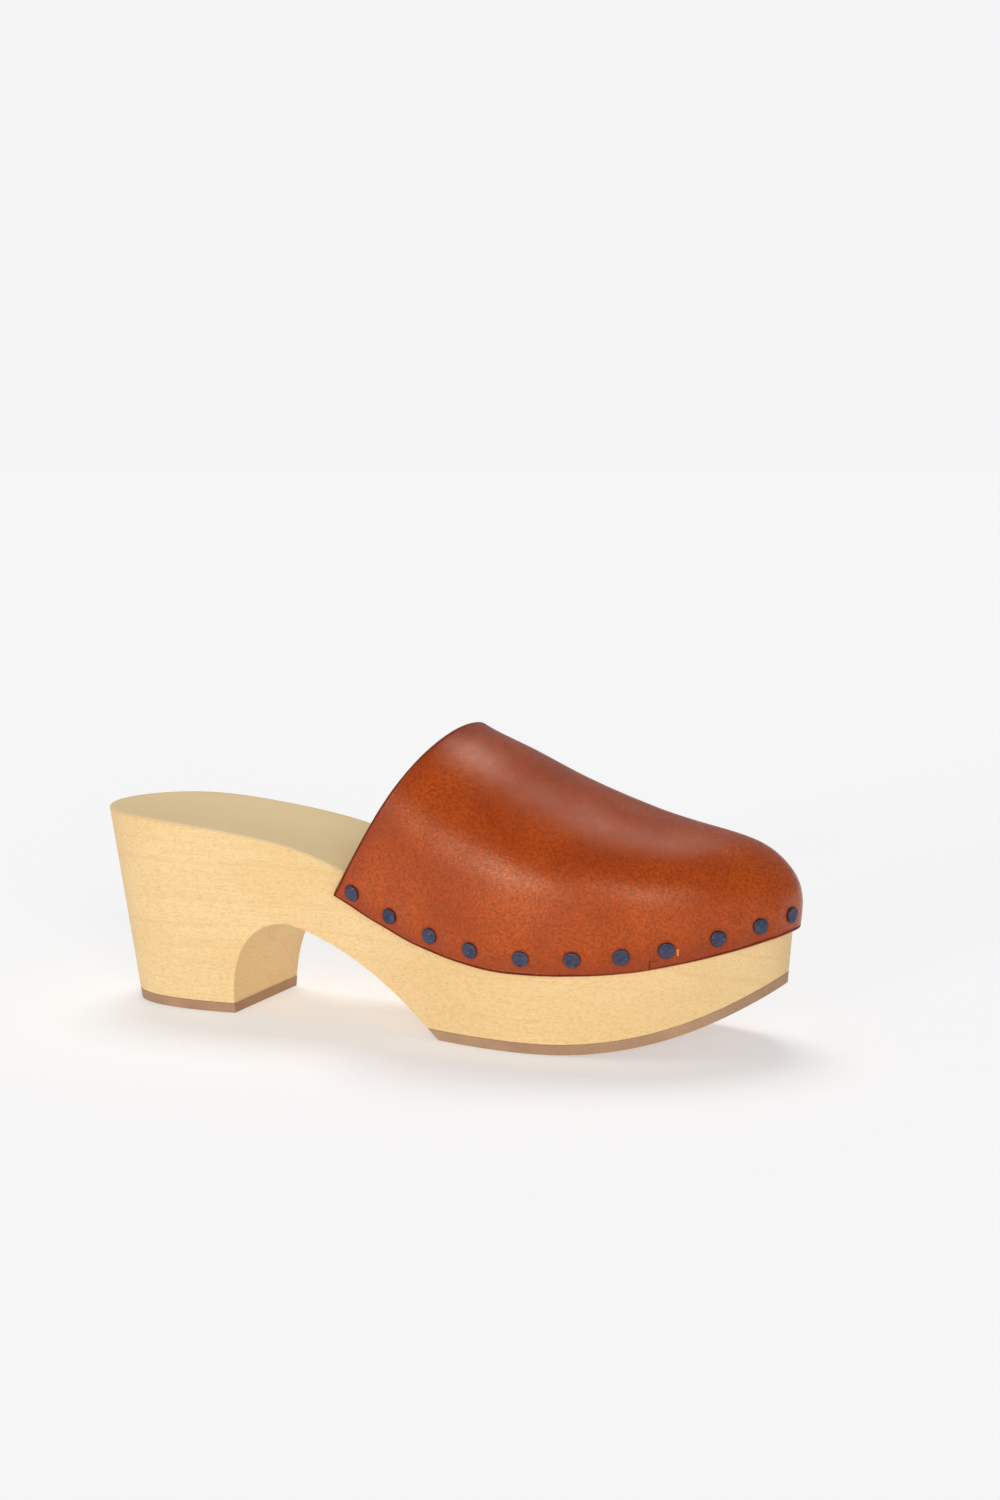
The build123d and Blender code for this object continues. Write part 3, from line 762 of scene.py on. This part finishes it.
# ---------------------------------------------------------------- materials
class Shader:
    """A material with one Principled surface, and short calls to add nodes to it."""

    def __init__(self, name):
        self.material = bpy.data.materials.new(name)
        self.material.use_nodes = True
        self.tree = self.material.node_tree
        self.surface = self.tree.nodes["Principled BSDF"]
        self.place = self.add("TexCoord").outputs["Object"]

    def add(self, kind, inputs=None, **settings):
        """A new node, with its settings made and its inputs fed."""
        node = self.tree.nodes.new("ShaderNode" + kind)
        for key, value in settings.items():
            setattr(node, key, value)
        for key, value in (inputs or {}).items():
            self.feed(node.inputs[key], value)
        return node

    def feed(self, socket, value):
        """Link a socket to another node's output, or set it to a plain value."""
        if isinstance(value, bpy.types.NodeSocket):
            self.tree.links.new(value, socket)
        else:
            socket.default_value = value

    def stretched(self, scale, turn=(0, 0, 0)):
        """Coordinates scaled by scale, per metre, after a turn in degrees."""
        rotation = tuple(math.radians(angle) for angle in turn)
        inputs = {"Vector": self.place, "Rotation": rotation, "Scale": scale}
        return self.add("Mapping", inputs).outputs["Vector"]

    def noise(self, vector, detail=3.0, rough=0.5, warp=0.0):
        """Noise, one cell to each unit of the coordinates."""
        inputs = {"Vector": vector, "Scale": 1.0, "Detail": detail, "Roughness": rough, "Distortion": warp}
        return self.add("TexNoise", inputs).outputs["Fac"]

    def range(self, value, low, high, start=0.0, end=1.0):
        """Smooth step from start to end while value goes from low to high."""
        inputs = {"Value": value, "From Min": low, "From Max": high, "To Min": start, "To Max": end}
        return self.add("MapRange", inputs, interpolation_type="SMOOTHSTEP").outputs["Result"]

    def math(self, operation, first, second=0.0):
        """Result of one operation on one or two values."""
        return self.add("Math", {0: first, 1: second}, operation=operation).outputs[0]

    def mix(self, share, first, second):
        """Colour between first and second. 6, 7 and 2 are the node's colour sockets."""
        node = self.add("Mix", {0: share, 6: first, 7: second}, data_type="RGBA")
        return node.outputs[2]

    def bump(self, height, strength, distance):
        """Normal of a rough surface, where a height of 1 stands for distance, in metres."""
        inputs = {"Height": height, "Strength": strength, "Distance": distance}
        return self.add("Bump", inputs).outputs["Normal"]

    def finish(self, **inputs):
        """Feed the surface, whose sockets are named with _ for each space, and give the material."""
        for key, value in inputs.items():
            self.feed(self.surface.inputs[key.replace("_", " ")], value)
        return self.material


def colour(red, green, blue):
    """Linear colour from sRGB values of 0 to 255."""
    linear = [((v / 255 + 0.055) / 1.055) ** 2.4 if v > 10 else v / 255 / 12.92 for v in (red, green, blue)]
    return (*linear, 1.0)


def wood_material():
    """Pale close-grained wood: growth rings round a slanting pith, fine fibres, flecks and soft mottling, and
    painted light that makes faces looking up paler.
    """
    s = Shader("alder_wood")
    warp = s.noise(s.stretched((9, 30, 30)), detail=2)
    wander = s.noise(s.stretched((26, 90, 90)), detail=2)
    turned = s.add("Mapping", {"Vector": s.place, "Location": (0, 0.052, 0.085),
                               "Rotation": (0, math.radians(3.2), math.radians(2.4)), "Scale": (0, 1, 1)})
    radius = s.add("VectorMath", {0: turned.outputs["Vector"]}, operation="LENGTH").outputs["Value"]
    bent = s.math("ADD", radius, s.math("MULTIPLY", warp, 0.011))
    bent = s.math("ADD", bent, s.math("MULTIPLY", wander, 0.0018))
    inputs = {"W": bent, "Scale": 290.0, "Detail": 2.5, "Roughness": 0.6}
    rings = s.add("TexNoise", inputs, noise_dimensions="1D")
    line = s.range(rings.outputs["Fac"], 0.55, 0.72)
    fibre = s.noise(s.stretched((45, 1500, 1500)), detail=4, rough=0.65)
    fleck = s.range(s.noise(s.stretched((230, 1900, 1900)), detail=1), 0.66, 0.76)
    cloud = s.noise(s.stretched((16, 38, 38)), detail=3)
    base = s.mix(s.range(cloud, 0.3, 0.7), colour(241, 211, 156), colour(236, 202, 144))
    base = s.mix(s.math("MULTIPLY", line, 0.15), base, colour(213, 163, 97))
    base = s.mix(s.range(fibre, 0.35, 0.75, 0.0, 0.3), base, colour(222, 177, 114))
    base = s.mix(s.math("MULTIPLY", fleck, 0.3), base, colour(188, 136, 80))
    grit = s.noise(s.stretched((700, 1400, 1400)), detail=2, rough=0.7)
    base = s.mix(s.range(grit, 0.4, 0.7, 0.0, 0.3), base, colour(204, 156, 96))
    # Painted light: faces that look up, such as the footbed, are mixed towards a paler colour, as if lit
    # more.
    top = s.add("SeparateXYZ", {"Vector": s.add("NewGeometry").outputs["Normal"]}).outputs["Z"]
    base = s.mix(s.range(top, 0.5, 0.9, 0.0, 0.6), base, colour(252, 226, 172))
    height = s.math("ADD", s.math("MULTIPLY", fibre, 0.7), s.math("MULTIPLY", fleck, -0.6))
    return s.finish(Base_Color=base, Roughness=s.range(fibre, 0.3, 0.7, 0.46, 0.58),
                    Normal=s.bump(height, 0.25, 0.00012), Specular_IOR_Level=0.35)


def torn_spot(s, seat, waver):
    """Masks of a short L-shaped cut behind and below one tack, and of the pale fibres pulled up before it."""
    x, _, z = ((seat - MIDDLE) * MM).tolist()
    axes = s.add("SeparateXYZ", {"Vector": s.place}).outputs
    outer_side = s.math("LESS_THAN", axes["Y"], 0.0)
    behind = s.math("ADD", s.math("DIVIDE", s.math("SUBTRACT", x, axes["X"]), MM), waver)
    below = s.math("ADD", s.math("DIVIDE", s.math("SUBTRACT", z, axes["Z"]), MM), waver)

    def patch(centre, half):
        """Mask of a box behind and below the tack, on the outer side only."""
        sides = [s.math("LESS_THAN", s.math("ABSOLUTE", s.math("SUBTRACT", value, middle_value)), reach)
                 for value, middle_value, reach in zip((behind, below), centre, half)]
        return s.math("MULTIPLY", s.math("MULTIPLY", *sides), outer_side)

    cut = s.math("MAXIMUM", patch(CUT_ARM, CUT_ARM_HALF), patch(CUT_LEG, CUT_LEG_HALF))
    return cut, patch(FIBRES, FIBRES_HALF)


def leather_material(torn_seat):
    """Polished chestnut leather: cloudy dye, pebble grain, darker along the edges, and painted shade round
    the tacks.

    It covers the whole upper, the cut edges and the inside too.
    """
    s = Shader("chestnut_leather")
    cloud = s.noise(s.stretched((38, 38, 38)), detail=5, rough=0.6, warp=0.4)
    blot = s.noise(s.stretched((210, 210, 210)), detail=4, rough=0.7)
    speck = s.noise(s.stretched((1150, 1150, 1150)), detail=3, rough=0.75)
    base = s.mix(s.range(cloud, 0.3, 0.7), colour(168, 60, 7), colour(194, 80, 14))
    base = s.mix(s.range(blot, 0.35, 0.7, 0.0, 0.5), base, colour(172, 70, 10))
    base = s.mix(s.range(speck, 0.4, 0.62, 0.0, 0.7), base, colour(130, 46, 10))
    edge = s.add("Attribute", attribute_name="edge").outputs["Fac"]
    tack = s.add("Attribute", attribute_name="tack").outputs["Fac"]
    ragged = s.math("ADD", edge, s.math("MULTIPLY", blot, 3.0))
    base = s.mix(s.range(ragged, 1.5, 9.5, 0.5, 0.0), base, colour(136, 42, 18))
    base = s.mix(s.range(edge, 0.0, 0.8, 0.45, 0.0), base, colour(118, 42, 14))
    # Painted shade: a dark ring on the leather just round each tack head, where the head meets the skin.
    base = s.mix(s.range(tack, 2.5, 3.7, 0.55, 0.0), base, colour(96, 28, 12))
    waver = s.math("MULTIPLY", s.math("SUBTRACT", blot, 0.5), 1.4)
    cut, fibres = torn_spot(s, torn_seat, waver)
    base = s.mix(s.math("MULTIPLY", cut, 0.85), base, colour(58, 18, 9))
    base = s.mix(s.math("MULTIPLY", fibres, 0.7), base, colour(222, 150, 92))
    cells = s.add("TexVoronoi", {"Vector": s.stretched((1150, 1150, 1150)), "Randomness": 1.0},
                  feature="SMOOTH_F1")
    pebble = s.math("ADD", s.math("MULTIPLY", cells.outputs["Distance"], -0.8), speck)
    height = s.math("ADD", pebble, s.math("MULTIPLY", blot, 0.9))
    rough = s.range(s.math("ADD", blot, speck), 0.7, 1.3, 0.24, 0.32)
    return s.finish(Base_Color=base, Roughness=rough, Normal=s.bump(height, 0.42, 0.00012),
                    Specular_IOR_Level=0.45, Specular_Tint=(1.0, 0.84, 0.6, 1))


def tack_material():
    """Blued steel, dark blue-violet with scratches that run across the heads."""
    s = Shader("blued_tack_steel")
    scratch = s.noise(s.stretched((700, 900, 5200), (20, 35, 10)), detail=4, rough=0.7)
    stain = s.noise(s.stretched((330, 330, 330)), detail=3)
    base = s.mix(s.range(stain, 0.35, 0.65), colour(50, 57, 78), colour(70, 70, 92))
    base = s.mix(s.range(scratch, 0.56, 0.72, 0.0, 0.8), base, colour(150, 158, 182))
    rough = s.range(scratch, 0.3, 0.7, 0.32, 0.55)
    height = s.math("ADD", scratch, s.math("MULTIPLY", stain, 1.5))
    return s.finish(Base_Color=base, Metallic=0.65, Roughness=rough, Normal=s.bump(height, 0.5, 0.00008))


def rubber_material():
    """Tan tread rubber, matt, with a fine grain and a slightly rubbed tone."""
    s = Shader("tan_tread_rubber")
    grain = s.noise(s.stretched((1600, 1600, 1600)), detail=3, rough=0.6)
    cloud = s.noise(s.stretched((60, 60, 60)), detail=3)
    base = s.mix(s.range(cloud, 0.3, 0.7), colour(182, 146, 114), colour(169, 131, 100))
    base = s.mix(s.range(grain, 0.4, 0.7, 0.0, 0.35), base, colour(146, 106, 78))
    return s.finish(Base_Color=base, Roughness=0.72, Normal=s.bump(grain, 0.35, 0.0001))


def puff_material():
    """Stiffened leather board of the toe puff."""
    s = Shader("toe_puff_board")
    fibre = s.noise(s.stretched((700, 700, 700)), detail=5, rough=0.7)
    base = s.mix(s.range(fibre, 0.35, 0.7), colour(150, 112, 78), colour(178, 140, 102))
    return s.finish(Base_Color=base, Roughness=0.85, Normal=s.bump(fibre, 0.5, 0.0002))


def dress(thing, node, material):
    """Give a piece its material, hide the CAD node it stands for, and let it ride on the clog's one body."""
    thing.data.materials.append(material)
    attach(thing, "root")
    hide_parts(node)


# ---------------------------------------------------------------- studio
def camera():
    """The photo's viewpoint, in the row frame."""
    lens = bpy.data.cameras.new("camera")
    lens.lens = CAMERA_LENS
    lens.sensor_width = CAMERA_SENSOR
    eye = bpy.data.objects.new("camera", lens)
    eye.location = CAMERA_PLACE
    eye.rotation_euler = (Vector(CAMERA_AIM) - Vector(CAMERA_PLACE)).to_track_quat("-Z", "Y").to_euler()
    bpy.context.scene.collection.objects.link(eye)
    bpy.context.scene.camera = eye


def floor():
    """Pale matt floor, so wide that its far edge melts into the pale background."""
    ring = []
    for i in range(FLOOR_SIDES):
        angle = 2 * math.pi * i / FLOOR_SIDES
        ring.append((FLOOR_RADIUS * math.cos(angle), FLOOR_RADIUS * math.sin(angle), 0))
    paper = make_object("studio_floor", np.array(ring) / MM + MIDDLE, [list(range(FLOOR_SIDES))])
    s = Shader("studio_paper")
    paper.data.materials.append(s.finish(Base_Color=FLOOR_COLOUR, Roughness=1.0, Specular_IOR_Level=0.0,
                                         Emission_Color=WHITE, Emission_Strength=FLOOR_GLOW))


def soft_sun(name, azimuth, elevation, width, strength):
    """Distant soft white light from an azimuth and elevation, as wide as width, all in degrees."""
    lamp = bpy.data.lights.new(name, "SUN")
    lamp.energy = strength
    lamp.angle = math.radians(width)
    sun = bpy.data.objects.new(name, lamp)
    a, e = math.radians(azimuth), math.radians(elevation)
    towards = Vector((math.cos(a) * math.cos(e), math.sin(a) * math.cos(e), math.sin(e)))
    sun.rotation_euler = towards.to_track_quat("Z", "Y").to_euler()
    bpy.context.scene.collection.objects.link(sun)


def studio():
    """A bright backdrop for the camera, a dimmer even light on the clog from all round, and the suns."""
    world = bpy.data.worlds.new("studio_light")
    world.use_nodes = True
    tree = world.node_tree
    backdrop = tree.nodes["Background"]
    backdrop.inputs["Color"].default_value = BACKDROP_COLOUR
    fill = tree.nodes.new("ShaderNodeBackground")
    fill.inputs["Color"].default_value = WHITE
    fill.inputs["Strength"].default_value = FILL_STRENGTH
    seen = tree.nodes.new("ShaderNodeLightPath")
    either = tree.nodes.new("ShaderNodeMixShader")
    tree.links.new(seen.outputs["Is Camera Ray"], either.inputs[0])
    tree.links.new(fill.outputs[0], either.inputs[1])
    tree.links.new(backdrop.outputs[0], either.inputs[2])
    tree.links.new(either.outputs[0], tree.nodes["World Output"].inputs["Surface"])
    bpy.context.scene.world = world
    bpy.context.scene.view_settings.view_transform = "Standard"
    for name, placing in SUNS.items():
        soft_sun(name, *placing)


camera()
floor()
studio()
seats, outwards = tack_seats()
treads = rubber_material()
dress(wood(), "wood_base", wood_material())
dress(heel_tread(), "heel_lift", treads)
dress(forefoot_tread(), "forefoot_outsole", treads)
dress(upper(seats), "leather_upper", leather_material(seats[TORN_TACK]))
dress(tacks(seats, outwards), "upper_tacks", tack_material())
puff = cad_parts["toe_puff"]
puff.data.materials.clear()
puff.data.materials.append(puff_material())
